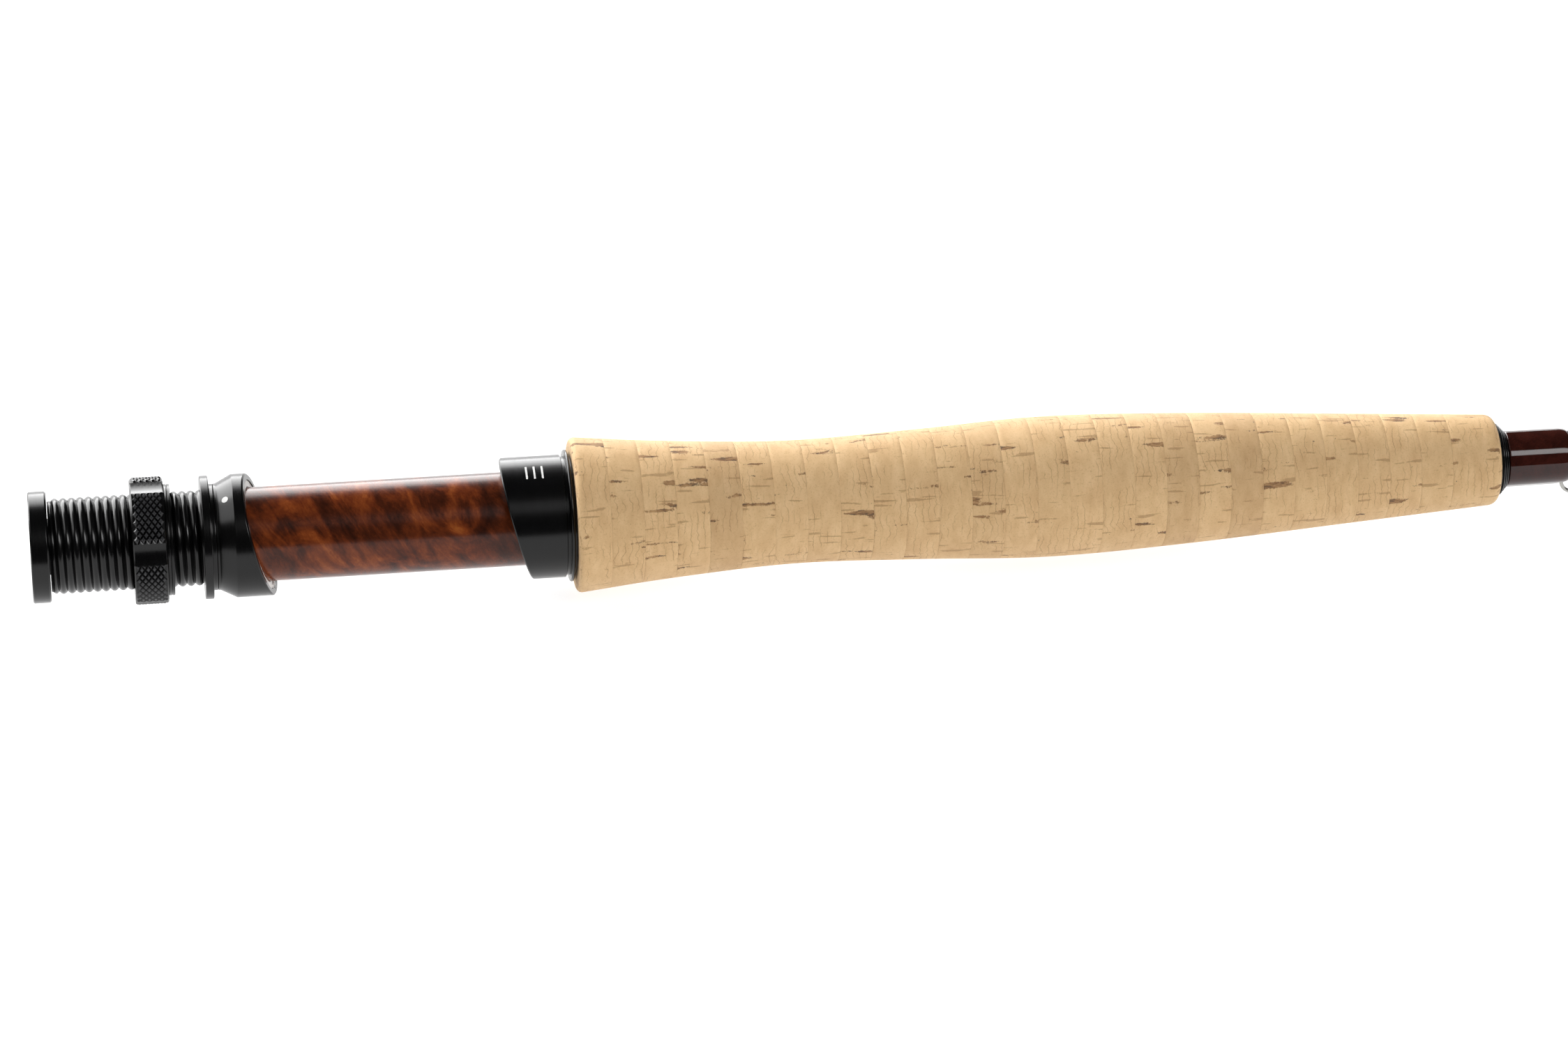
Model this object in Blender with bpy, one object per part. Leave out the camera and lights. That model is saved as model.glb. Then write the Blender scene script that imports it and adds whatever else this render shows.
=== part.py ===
"""Butt section of a seven-piece travel fly rod: reel seat, cork grip, blank, hook keeper and ferrule.

The rod lies along +X, from the butt cap at the origin to the ferrule spigot. +Z is up and the reel
hangs on the -Z side. Every round piece is turned about the X axis.
"""

import math

import bmesh
import bpy
from mathutils import Vector

MM = 0.001
GAP = 0.3 * MM  # between two pieces that touch on the real rod
GLUE = 0.15 * MM  # radial room for glue between nested tubes
RUNNING = 0.08 * MM  # radial room round a thread crest or the insert for a piece that slides

# Reel seat, along the rod
CAP_THICKNESS = 3.25 * MM
CAP_RADIUS = 10.55 * MM
BARREL_START = CAP_THICKNESS + GAP
BARREL_BORE = 7.3 * MM
THREAD_PITCH = 1.6 * MM
THREAD_DEPTH = 0.5 * MM
THREAD_RUNOUT = 0.4 * MM  # plain length past each end of the thread
THREAD_CLEARANCE = 0.15 * MM  # between the ring's thread and the barrel's
ROWS_IN_PITCH = 2  # one row of points along the root and one along the crest
BARREL_TURNS = 18
BARREL_END = BARREL_START + THREAD_PITCH * (BARREL_TURNS + 1) + 2 * THREAD_RUNOUT
SEAT_RADIUS = 9.0 * MM  # the insert's radius, and with a hair more the thread's crest
CREST_RADIUS = SEAT_RADIUS + 0.05 * MM
RING_START = 19.15 * MM
RING_WIDTH = 6.3 * MM
RING_RADIUS = 12.1 * MM
RING_LOBES = 5
WASHER_END = 26.65 * MM
HOOD_START = 32.35 * MM
FLANGE_WIDTH = 1.6 * MM
FLANGE_RADIUS = 11.7 * MM
NECK_RADIUS = 10.1 * MM
HOOD_RADIUS = 11.7 * MM
HOOD_TURN = math.radians(13)  # the loose hood lies turned a little from the fixed one
MOUTH_SLOPE = 0.262  # how far a hood's slanted mouth runs along X for each unit of height
SLIDING_MOUTH = 43.35 * MM  # where the slanted mouths cross the rod's axis
FIXED_MOUTH = 91.95 * MM
FOOT_FLAT = 7.4 * MM  # depth of the insert's flat for the reel foot, below the axis
FOOT_START = 46.9 * MM
FOOT_END = 93.9 * MM
POCKET_RADIUS = 10.75 * MM
POCKET_HALF_ANGLE = math.radians(37)
SEAT_END = 100.75 * MM

# Grip and blank
GRIP_START = 102.7 * MM
GRIP_END = 282.0 * MM
CORK_RINGS = 28
CORK_PITCH = 6.27 * MM  # the last ring is the thicker one that tapers to the winding check
CHECK_WIDTH = 1.75 * MM
BLANK_START = 8.0 * MM
BLANK_END = 392.0 * MM
BLANK_BUTT_RADIUS = 5.3 * MM
BLANK_TIP_RADIUS = 4.53 * MM
BLANK_WALL = 1.0 * MM
SPIGOT_LENGTH = 76.0 * MM
SPIGOT_SHOWING = 38.0 * MM

# Wraps and hook keeper
WRAP_THICKNESS = 0.4 * MM
KEEPER_CENTRE = 298.7 * MM
KEEPER_BEND = 2.7 * MM
KEEPER_WIRE = 0.375 * MM
UNDERSIDE = 1.5 * math.pi  # angle of -Z, counted from +Y towards +Z

COLOURS = {
    "black_anodised": ((0.012, 0.012, 0.013), 0.28, 0.6),
    "burl_wood": ((0.20, 0.055, 0.018), 0.22, 0.0),
    "cork": ((0.60, 0.42, 0.24), 0.75, 0.0),
    "rubber": ((0.02, 0.022, 0.022), 0.45, 0.0),
    "blank_lacquer": ((0.035, 0.010, 0.010), 0.15, 0.0),
    "burgundy_wrap": ((0.085, 0.016, 0.014), 0.12, 0.0),
    "trim_thread": ((0.012, 0.012, 0.013), 0.12, 0.0),
    "steel": ((0.70, 0.70, 0.68), 0.22, 1.0),
    "graphite": ((0.03, 0.03, 0.032), 0.5, 0.0),
    "nylon": ((0.82, 0.81, 0.78), 0.4, 0.0),
}


def clear_scene():
    for item in list(bpy.data.objects):
        bpy.data.objects.remove(item, do_unlink=True)


def material(slot):
    """The slot's Principled material, made once."""
    found = bpy.data.materials.get(slot)
    if found:
        return found
    colour, roughness, metallic = COLOURS[slot]
    found = bpy.data.materials.new(slot)
    found.use_nodes = True
    shader = found.node_tree.nodes["Principled BSDF"]
    shader.inputs["Base Color"].default_value = (*colour, 1)
    shader.inputs["Roughness"].default_value = roughness
    shader.inputs["Metallic"].default_value = metallic
    return found


def linked(name, bm):
    """An object from the bmesh, with its faces turned outwards."""
    bmesh.ops.recalc_face_normals(bm, faces=bm.faces)
    mesh = bpy.data.meshes.new(name)
    bm.to_mesh(mesh)
    bm.free()
    item = bpy.data.objects.new(name, mesh)
    bpy.context.scene.collection.objects.link(item)
    return item


def placed(name, bm, slot, parent=None):
    """A smooth-shaded sub-part in the slot's material."""
    item = linked(name, bm)
    item.data.shade_smooth()
    item.data.set_sharp_from_angle(angle=math.radians(35))
    item.data.materials.append(material(slot))
    item.parent = parent
    return item


def helper(name, bm):
    """A piece that only cuts another, and is never rendered."""
    item = linked(name, bm)
    item.hide_render = True
    item.display_type = "WIRE"
    return item


def joint_empty(name, turn=0.0):
    """An empty on the rod's axis, which carries a moving piece."""
    empty = bpy.data.objects.new(name, None)
    bpy.context.scene.collection.objects.link(empty)
    empty.rotation_euler = (turn, 0, 0)
    return empty


def on_axis(x, radius, angle):
    return Vector((x, radius * math.cos(angle), radius * math.sin(angle)))


def turned_mesh(outline, segments):
    """A bmesh of the closed outline turned about X.

    Each point of the outline is (x, radius), or a function of the angle that returns them.
    """
    bm = bmesh.new()
    columns = []
    for step in range(segments):
        angle = 2 * math.pi * step / segments
        column = []
        for index, point in enumerate(outline):
            x, radius = point(angle) if callable(point) else point
            if radius == 0 and columns:
                column.append(columns[0][index])
            else:
                column.append(bm.verts.new(on_axis(x, radius, angle)))
        columns.append(column)
    for step, column in enumerate(columns):
        following = columns[(step + 1) % segments]
        for index in range(len(outline)):
            after = (index + 1) % len(outline)
            corners = (column[index], following[index], following[after], column[after])
            different = list(dict.fromkeys(corners))
            if len(different) > 2:
                bm.faces.new(different)
    return bm


def turned(name, outline, slot, segments=24, parent=None):
    return placed(name, turned_mesh(outline, segments), slot, parent)


def near(angle, middle, half_width):
    """Whether the angle lies within half_width of the middle, round the circle."""
    offset = (angle - middle + math.pi) % (2 * math.pi) - math.pi
    return abs(offset) <= half_width


def tube_outline(start, end, inner, outer, chamfer=0.0):
    """Outline of a plain tube, with both outer edges chamfered where a chamfer is given."""
    if not chamfer:
        return [(start, inner), (start, outer), (end, outer), (end, inner)]
    return [
        (start, inner),
        (start, outer - chamfer),
        (start + chamfer, outer),
        (end - chamfer, outer),
        (end, outer - chamfer),
        (end, inner),
    ]


def blank_radius(x):
    """Outer radius of the tapered blank."""
    part = (x - BLANK_START) / (BLANK_END - BLANK_START)
    return BLANK_BUTT_RADIUS + (BLANK_TIP_RADIUS - BLANK_BUTT_RADIUS) * part


def grip_radius(x):
    """Outer radius of the half-wells cork grip: a flared butt, a waist, a swell and a long taper."""
    stations = (
        (GRIP_START, 14.9 * MM),
        (GRIP_START + 18 * MM, 13.15 * MM),
        (GRIP_START + 42 * MM, 11.8 * MM),
        (GRIP_START + 66 * MM, 12.45 * MM),
        (GRIP_START + 91 * MM, 13.5 * MM),
        (GRIP_START + 118 * MM, 12.6 * MM),
        (GRIP_START + 150 * MM, 10.6 * MM),
        (GRIP_END, 8.7 * MM),
    )
    slopes = []
    for index in range(len(stations)):
        before = stations[max(index - 1, 0)]
        after = stations[min(index + 1, len(stations) - 1)]
        slopes.append((after[1] - before[1]) / (after[0] - before[0]))
    for index in range(len(stations) - 1):
        (x0, r0), (x1, r1) = stations[index], stations[index + 1]
        if x <= x1 or index == len(stations) - 2:
            span = x1 - x0
            t = (x - x0) / span
            return (
                r0 * (1 + 2 * t) * (1 - t) ** 2
                + slopes[index] * span * t * (1 - t) ** 2
                + r1 * t * t * (3 - 2 * t)
                + slopes[index + 1] * span * t * t * (t - 1)
            )


# ---------------------------------------------------------------- reel seat


def butt_cap():
    plug_end = BLANK_START - GAP
    edge = 0.25 * MM
    plug = BLANK_BUTT_RADIUS
    outline = [
        (0, 0),
        (0, CAP_RADIUS - edge),
        (edge, CAP_RADIUS),
        (CAP_THICKNESS - edge, CAP_RADIUS),
        (CAP_THICKNESS, CAP_RADIUS - edge),
        (CAP_THICKNESS, plug),
        (plug_end, plug),
        (plug_end, 0),
    ]
    turned("butt_cap", outline, "black_anodised", 32)


def threaded(start, turns, clear=0.0, bore=0.0):
    """A bmesh of a rod with a right-hand thread, or of a tube where a bore is given.

    Each row of points runs round it and climbs one pitch a turn. clear widens the thread all round.
    """
    segments = 24
    root = CREST_RADIUS - THREAD_DEPTH + clear
    crest = CREST_RADIUS + clear
    end = start + THREAD_PITCH * (turns + 1) + 2 * THREAD_RUNOUT
    rows = turns * ROWS_IN_PITCH
    bm = bmesh.new()

    def ring(x, radius):
        points = range(segments)
        return [bm.verts.new(on_axis(x, radius, 2 * math.pi * j / segments)) for j in points]

    def helix_point(row, column):
        x = start + THREAD_RUNOUT + THREAD_PITCH * (row / ROWS_IN_PITCH + column / segments)
        radius = crest if row % ROWS_IN_PITCH else root
        return bm.verts.new(on_axis(x, radius, 2 * math.pi * column / segments))

    first = ring(start, root)
    last = ring(end, root)
    seam = [helix_point(row, 0) for row in range(rows + ROWS_IN_PITCH + 1)]
    helix = [seam]
    for column in range(1, segments):
        helix.append([helix_point(row, column) for row in range(rows + 1)])
    helix.append(seam[ROWS_IN_PITCH:])

    for j in range(segments):
        left, right = helix[j], helix[j + 1]
        k = (j + 1) % segments
        for row in range(rows):
            bm.faces.new((left[row], right[row], right[row + 1], left[row + 1]))
        bm.faces.new((first[j], first[k], right[0], left[0]))
        bm.faces.new((left[rows], right[rows], last[k], last[j]))
    bm.faces.new([first[0]] + seam[: ROWS_IN_PITCH + 1])
    bm.faces.new(seam[rows:] + [last[0]])
    if not bore:
        bm.faces.new(first)
        bm.faces.new(last)
        return bm
    inner_first = ring(start, bore)
    inner_last = ring(end, bore)
    for j in range(segments):
        k = (j + 1) % segments
        bm.faces.new((last[j], last[k], inner_last[k], inner_last[j]))
        bm.faces.new((inner_last[j], inner_last[k], inner_first[k], inner_first[j]))
        bm.faces.new((inner_first[j], inner_first[k], first[k], first[j]))
    return bm


def threaded_barrel():
    tube = threaded(BARREL_START, BARREL_TURNS, bore=BARREL_BORE)
    placed("threaded_barrel", tube, "black_anodised")


def wood_insert():
    """The insert, with a tenon inside the barrel and a flat along its underside for the reel foot.

    Under the two hoods the flat is a little deeper, so that the foot bears between them.
    """
    segments = 48
    start = BARREL_END + GAP
    end = SEAT_END - 1.8 * MM
    tenon_start = 12.0 * MM
    tenon = BARREL_BORE - GLUE
    bore = BLANK_BUTT_RADIUS + 0.5 * MM
    relief = 0.2 * MM

    def body(x, flat):
        def point(angle):
            down = -math.sin(angle)
            return x, min(SEAT_RADIUS, flat / down) if down > 0 else SEAT_RADIUS

        return point

    outline = [
        (tenon_start, bore),
        (tenon_start, tenon),
        (start, tenon),
        body(start, FOOT_FLAT - relief),
        body(FOOT_START - relief, FOOT_FLAT - relief),
        body(FOOT_START, FOOT_FLAT),
        body(FOOT_END, FOOT_FLAT),
        body(FOOT_END + relief, FOOT_FLAT - relief),
        body(end, FOOT_FLAT - relief),
        (end, bore),
    ]
    turned("wood_insert", outline, "burl_wood", segments)
    half = 4 * MM
    for name, middle in (("seat_arbor_rear", 24 * MM), ("seat_arbor_front", 86 * MM)):
        inner = blank_radius(middle - half) + 0.1 * MM
        outline = tube_outline(middle - half, middle + half, inner, bore - 0.1 * MM)
        turned(name, outline, "graphite")


def thrust_washer(parent):
    start = RING_START + RING_WIDTH + GAP
    outline = tube_outline(start, WASHER_END, CREST_RADIUS + RUNNING, CAP_RADIUS, 0.15 * MM)
    turned("thrust_washer", outline, "black_anodised", 32, parent)


def locking_ring(parent):
    """The ring that the fingers turn, with five scallops between its knurled lobes."""
    scallop_depth = 0.7 * MM
    scallop_half = math.radians(12)
    first_scallop = math.radians(85.6)
    edge = 0.25 * MM

    def outer(x, inset):
        def point(angle):
            spacing = 2 * math.pi / RING_LOBES
            offset = (angle - first_scallop + spacing / 2) % spacing - spacing / 2
            share = min(abs(offset) / scallop_half, 1)
            return x, RING_RADIUS - inset - scallop_depth * (1 - share * share)

        return point

    end = RING_START + RING_WIDTH
    bore = CREST_RADIUS - THREAD_DEPTH + THREAD_CLEARANCE - 0.2 * MM
    outline = [
        (RING_START, bore),
        outer(RING_START, edge),
        outer(RING_START + edge, 0),
        outer(end - edge, 0),
        outer(end, edge),
        (end, bore),
    ]
    ring = turned("locking_ring", outline, "black_anodised", 60, parent)
    tap_start = BARREL_START + THREAD_PITCH * 7
    tap = helper("helper_tap", threaded(tap_start, 7, clear=THREAD_CLEARANCE))
    cut = ring.modifiers.new("internal_thread", "BOOLEAN")
    cut.operation = "DIFFERENCE"
    cut.object = tap


def hood_collar(parent):
    """Flange and neck behind the sliding hood. It takes the push and does not turn."""
    flange_end = HOOD_START + FLANGE_WIDTH
    end = flange_end + 0.6 * MM
    bore = CREST_RADIUS + RUNNING
    edge = 0.15 * MM
    outline = [
        (HOOD_START, bore),
        (HOOD_START, FLANGE_RADIUS - edge),
        (HOOD_START + edge, FLANGE_RADIUS),
        (flange_end - edge, FLANGE_RADIUS),
        (flange_end, FLANGE_RADIUS - edge),
        (flange_end, NECK_RADIUS),
        (end, NECK_RADIUS),
        (end, bore),
    ]
    turned("hood_collar", outline, "black_anodised", 32, parent)


def pocketed(x, radius, pocket, slope):
    """Bore point at x: the pocket's radius on the underside, and the radius elsewhere.

    With a slope the point follows a slanted mouth.
    """

    def point(angle):
        deep = near(angle, UNDERSIDE, POCKET_HALF_ANGLE)
        here = pocket if deep else radius
        return x - slope * here * math.sin(angle), here

    return point


def slanted(x, radius, slope):
    """A point at a slanted mouth, which reaches further along +X on the underside."""

    def point(angle):
        return x - slope * radius * math.sin(angle), radius

    return point


def sliding_hood(parent):
    start = HOOD_START + FLANGE_WIDTH + 0.9 * MM
    cone_start = start + 0.4 * MM
    cone_end = cone_start + 3.1 * MM
    bore = CREST_RADIUS + RUNNING
    lined = 10.45 * MM
    pocket_floor = start + 2.6 * MM
    lip = 0.25 * MM
    lip_x = SLIDING_MOUTH
    outline = [
        (start, bore),
        (start, NECK_RADIUS),
        (cone_start, NECK_RADIUS),
        (cone_end, HOOD_RADIUS),
        slanted(lip_x - lip, HOOD_RADIUS, MOUTH_SLOPE),
        slanted(lip_x, HOOD_RADIUS - lip, MOUTH_SLOPE),
        pocketed(lip_x, lined, POCKET_RADIUS + 0.1 * MM, MOUTH_SLOPE),
        pocketed(pocket_floor, lined, POCKET_RADIUS + 0.1 * MM, 0),
        (pocket_floor, bore),
    ]
    turned("sliding_hood", outline, "black_anodised", 48, parent)

    def liner_bore(x, slope):
        return pocketed(x, SEAT_RADIUS + 0.12 * MM, 10.1 * MM, slope)

    def liner_skin(x, slope):
        return pocketed(x, lined - GLUE, POCKET_RADIUS - 0.1 * MM, slope)

    liner_start = pocket_floor + GAP
    mouth = lip_x - 0.1 * MM
    outline = [
        liner_bore(liner_start, 0),
        liner_skin(liner_start, 0),
        liner_skin(mouth, MOUTH_SLOPE),
        liner_bore(mouth, MOUTH_SLOPE),
    ]
    turned("hood_liner", outline, "nylon", 48, parent)


def fixed_hood():
    """Hood glued to the insert in front of the grip, with its slanted mouth towards the butt."""
    wall = SEAT_END - 1.4 * MM
    bore = SEAT_RADIUS + GLUE
    lip = 0.25 * MM
    outline = [
        (wall, BLANK_BUTT_RADIUS + GAP),
        pocketed(wall, bore, POCKET_RADIUS, 0),
        pocketed(FIXED_MOUTH, bore, POCKET_RADIUS, MOUTH_SLOPE),
        slanted(FIXED_MOUTH, HOOD_RADIUS - lip, MOUTH_SLOPE),
        slanted(FIXED_MOUTH + lip, HOOD_RADIUS, MOUTH_SLOPE),
        (SEAT_END, HOOD_RADIUS),
        (SEAT_END, BLANK_BUTT_RADIUS + GAP),
    ]
    turned("fixed_hood", outline, "black_anodised", 48)


def trim_ring():
    start = SEAT_END + GAP
    end = GRIP_START - GAP
    middle = (start + end) / 2
    half = (end - start) / 2
    bulge = 0.9 * MM
    outer = 12.6 * MM - bulge
    bore = BLANK_BUTT_RADIUS + GAP
    outline = [(start, bore)]
    for step in range(7):
        angle = math.pi * step / 6
        outline.append((middle - half * math.cos(angle), outer + bulge * math.sin(angle)))
    outline.append((end, bore))
    turned("trim_ring", outline, "black_anodised", 32)


# ---------------------------------------------------------------- grip


def cork_ring(number):
    """One turned cork ring. The end rings of the grip have rounded outer edges."""
    start = GRIP_START + CORK_PITCH * (number - 1)
    end = start + CORK_PITCH - GAP
    last = number == CORK_RINGS
    if last:
        end = GRIP_END
    bore = blank_radius(start) + GAP
    edge = 1.9 * MM if last else 1.0 * MM
    drop = 1.45 * MM if last else 1.0 * MM
    rear = [(start, grip_radius(start))]
    front = [(end, grip_radius(end))]
    if number == 1:
        rear = [
            (start, grip_radius(start) - drop),
            (start + 0.3 * edge, grip_radius(start) - 0.3 * drop),
            (start + edge, grip_radius(start + edge)),
        ]
    if last:
        front = [
            (end - edge, grip_radius(end - edge)),
            (end - 0.3 * edge, grip_radius(end) - 0.3 * drop),
            (end, grip_radius(end) - drop),
        ]
    outline = [(start, bore)] + rear + front + [(end, bore)]
    turned(f"cork_ring_{number:02d}", outline, "cork", 24)


def winding_check():
    """Ribbed ring that closes the front of the grip."""
    start = GRIP_END + GAP
    width = CHECK_WIDTH
    back = 7.3 * MM
    front = 5.55 * MM
    ribs = 3
    bore = blank_radius(start) + 0.1 * MM
    outline = [(start, bore), (start, back)]
    for rib in range(ribs):
        for share, lift in ((0.25, 0.0), (0.75, 0.0), (1.0, -0.3 * MM)):
            along = (rib + share) / ribs
            outline.append((start + width * along, back + (front - back) * along + lift))
    outline.append((start + width, bore))
    turned("winding_check", outline, "rubber", 28)


# ---------------------------------------------------------------- blank, wraps and hook keeper


def blank():
    """Tapered hollow tube through the seat and the grip, open at the ferrule."""
    outline = [
        (BLANK_START, BLANK_BUTT_RADIUS - BLANK_WALL),
        (BLANK_START, BLANK_BUTT_RADIUS),
        (BLANK_END, BLANK_TIP_RADIUS),
        (BLANK_END, BLANK_TIP_RADIUS - BLANK_WALL * 0.8),
    ]
    turned("blank", outline, "blank_lacquer", 28)


def ferrule_spigot():
    """Tapered plug glued in the blank's end, which the next section slides over."""
    start = BLANK_END - (SPIGOT_LENGTH - SPIGOT_SHOWING)
    end = BLANK_END + SPIGOT_SHOWING
    thick = BLANK_TIP_RADIUS - BLANK_WALL * 0.8 - GLUE
    thin = thick - 0.35 * MM
    edge = 0.3 * MM
    bore = 1.6 * MM
    outline = [
        (start, bore),
        (start, thick),
        (BLANK_END, thick),
        (end - edge, thin),
        (end, thin - edge),
        (end, bore),
    ]
    turned("ferrule_spigot", outline, "graphite", 24)


def wrap(name, start, end, slot, thickness=WRAP_THICKNESS, wire=0.0, notch=0.0):
    """Thread wrap under epoxy, with rounded ends.

    Over a wire's foot that reaches this far from the blank, its underside has a groove and a bump.
    A notch shortens the underside at the front, where the wire comes out.
    """
    half_groove = math.radians(16)
    half_bump = math.radians(31)
    run = min(1.0 * MM, (end - start) / 4)
    room = 0.1 * MM

    def at(x, depth, half_width):
        """Outline point this far above the blank, lifted over the wire within half_width."""

        def point(angle):
            lift = 0.0
            back = 0.0
            if wire and near(angle, UNDERSIDE, half_width):
                lift = wire + room
            if x > (start + end) / 2 and near(angle, UNDERSIDE, half_bump):
                back = notch
            return x - back, blank_radius(x) + room + depth + lift

        return point

    outline = [
        at(start, 0, half_groove),
        at(start, 0.45 * thickness, half_bump),
        at(start + run, thickness, half_bump),
        at(end - run, thickness, half_bump),
        at(end, 0.45 * thickness, half_bump),
        at(end, 0, half_groove),
    ]
    turned(name, outline, slot)


def wire_mesh(path, radius, sides=8):
    """A bmesh of a round wire along a flat path, with closed ends."""
    bm = bmesh.new()
    rings = []
    side = None
    for index, point in enumerate(path):
        before = path[max(index - 1, 0)]
        after = path[min(index + 1, len(path) - 1)]
        along = (after - before).normalized()
        if side is None:
            side = along.orthogonal().normalized()
        side = (side - along * side.dot(along)).normalized()
        up = along.cross(side)
        ring = []
        for step in range(sides):
            angle = 2 * math.pi * step / sides
            ring.append(bm.verts.new(point + radius * (side * math.cos(angle) + up * math.sin(angle))))
        rings.append(ring)
    for ring, following in zip(rings, rings[1:]):
        for step in range(sides):
            after = (step + 1) % sides
            bm.faces.new((ring[step], ring[after], following[after], following[step]))
    bm.faces.new(rings[0])
    bm.faces.new(list(reversed(rings[-1])))
    return bm


def hook_keeper():
    """Wire loop on the underside, with a foot under the wrap at each end."""
    surface = blank_radius(KEEPER_CENTRE)
    foot_depth = surface + 0.15 * MM + KEEPER_WIRE
    middle_depth = surface + 1.3 * MM
    foot_length = 6.5 * MM
    opening = math.acos((middle_depth - foot_depth) / KEEPER_BEND)
    path = [Vector((KEEPER_CENTRE - foot_length, 0, -foot_depth))]
    steps = 14
    for step in range(steps + 1):
        angle = opening + (2 * math.pi - 2 * opening) * step / steps
        x = KEEPER_CENTRE - KEEPER_BEND * math.sin(angle)
        path.append(Vector((x, 0, -(middle_depth - KEEPER_BEND * math.cos(angle)))))
    path.append(Vector((KEEPER_CENTRE + foot_length, 0, -foot_depth)))
    placed("hook_keeper", wire_mesh(path, KEEPER_WIRE), "steel")


def wraps():
    red = "burgundy_wrap"
    rear = GRIP_END + CHECK_WIDTH + 2 * GAP
    wire = 0.15 * MM + 2 * KEEPER_WIRE
    wrap("keeper_wrap_rear", rear, 296.5 * MM, red, 0.5 * MM, wire, notch=1.1 * MM)
    wrap("keeper_wrap_front", 302.1 * MM, 310.2 * MM, red, wire=wire)
    wrap("ferrule_wrap", BLANK_END - 30 * MM, BLANK_END - 4 * MM, red)
    wrap("ferrule_trim", BLANK_END - 3.6 * MM, BLANK_END - 0.3 * MM, "trim_thread")


def build():
    clear_scene()
    butt_cap()
    threaded_barrel()
    wood_insert()
    fixed_hood()
    trim_ring()
    for number in range(1, CORK_RINGS + 1):
        cork_ring(number)
    winding_check()
    blank()
    ferrule_spigot()
    wraps()
    hook_keeper()
    ring_axis = joint_empty("ring_axis")
    thrust_washer(ring_axis)
    locking_ring(ring_axis)
    hood_axis = joint_empty("hood_axis", HOOD_TURN)
    hood_collar(hood_axis)
    sliding_hood(hood_axis)


build()
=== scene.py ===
"""Looks for the butt section of a travel fly rod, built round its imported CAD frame.

The rod lies along +X, +Z is up and the reel hangs on the -Z side. Angles round the rod are counted
from +Y towards +Z, so the underside is at 270 degrees.
"""

import functools
import math

import bmesh
import bpy
from mathutils import Matrix, Vector

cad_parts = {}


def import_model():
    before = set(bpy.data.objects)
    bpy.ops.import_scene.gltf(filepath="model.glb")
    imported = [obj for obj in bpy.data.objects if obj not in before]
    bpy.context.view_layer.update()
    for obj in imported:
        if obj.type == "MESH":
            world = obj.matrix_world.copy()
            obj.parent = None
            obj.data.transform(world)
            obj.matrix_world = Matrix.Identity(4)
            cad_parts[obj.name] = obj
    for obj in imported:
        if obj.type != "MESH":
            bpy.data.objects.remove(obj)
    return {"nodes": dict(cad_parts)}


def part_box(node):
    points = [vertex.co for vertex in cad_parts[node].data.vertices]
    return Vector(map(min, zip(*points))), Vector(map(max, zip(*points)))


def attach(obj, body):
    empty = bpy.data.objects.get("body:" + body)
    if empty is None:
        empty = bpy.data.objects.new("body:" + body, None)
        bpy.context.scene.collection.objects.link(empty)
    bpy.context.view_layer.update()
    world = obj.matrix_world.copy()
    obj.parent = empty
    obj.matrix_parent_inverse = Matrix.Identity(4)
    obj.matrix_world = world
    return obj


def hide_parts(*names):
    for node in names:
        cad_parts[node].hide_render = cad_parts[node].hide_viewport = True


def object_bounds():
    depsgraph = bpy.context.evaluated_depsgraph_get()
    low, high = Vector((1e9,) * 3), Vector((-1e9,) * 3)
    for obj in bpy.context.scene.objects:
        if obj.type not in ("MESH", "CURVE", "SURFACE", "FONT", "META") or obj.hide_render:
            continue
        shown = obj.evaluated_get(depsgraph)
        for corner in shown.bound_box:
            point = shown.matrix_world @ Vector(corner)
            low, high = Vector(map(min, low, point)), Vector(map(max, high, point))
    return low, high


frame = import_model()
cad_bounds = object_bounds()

MM = 0.001
TAU = 2 * math.pi
SEGMENTS = 128  # round a turned piece
UNDERSIDE = 1.5 * math.pi
RUNNING = 0.05 * MM  # room left between pieces that turn or slide on each other
TUCK = 0.2 * MM  # how far a turned piece reaches past its own end, under or against its neighbour
GLUE = 0.1 * MM  # room left round a piece that is glued in place
SAME_PLACE = 0.05 * MM  # CAD points this close along the rod count as one place

# Shapes that the CAD model states and its boxes don't show
THREAD_PITCH = 1.6 * MM
THREAD_DEPTH = 0.5 * MM
RING_LOBES = 5
FIRST_SCALLOP = math.radians(85.6)
SCALLOP_HALF = math.radians(12)
SCALLOP_DEPTH = 0.7 * MM
FLANGE_WIDTH = 1.6 * MM
HOOD_TURN = math.radians(13)
CONE_LENGTH = 3.1 * MM
HOOD_FLOOR = 2.6 * MM  # thickness of the wall between the hood's neck and its mouth
LINED_RADIUS = 10.45 * MM
MOUTH_SLOPE = 0.262
MOUTH_LIP = 0.25 * MM
POCKET_RADIUS = 10.75 * MM
POCKET_HALF = math.radians(37)
CORK_RINGS = 28
BUTT_ROUND = 1.0 * MM  # rounding of the grip's rear edge
TIP_ROUND = (1.9 * MM, 1.5 * MM)  # rounding of the grip's front edge, along the rod and out from it


# ---------------------------------------------------------------- reading the frame


@functools.cache
def span(node):
    """Where a CAD node starts and ends along the rod."""
    low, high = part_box(node)
    return low.x, high.x


@functools.cache
def reach(node, x=None):
    """A CAD node's outer radius, over all of it or at one place along the rod."""
    points = [vertex.co for vertex in frame["nodes"][node].data.vertices]
    return max(math.hypot(p.y, p.z) for p in points if x is None or abs(p.x - x) < SAME_PLACE)


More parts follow.
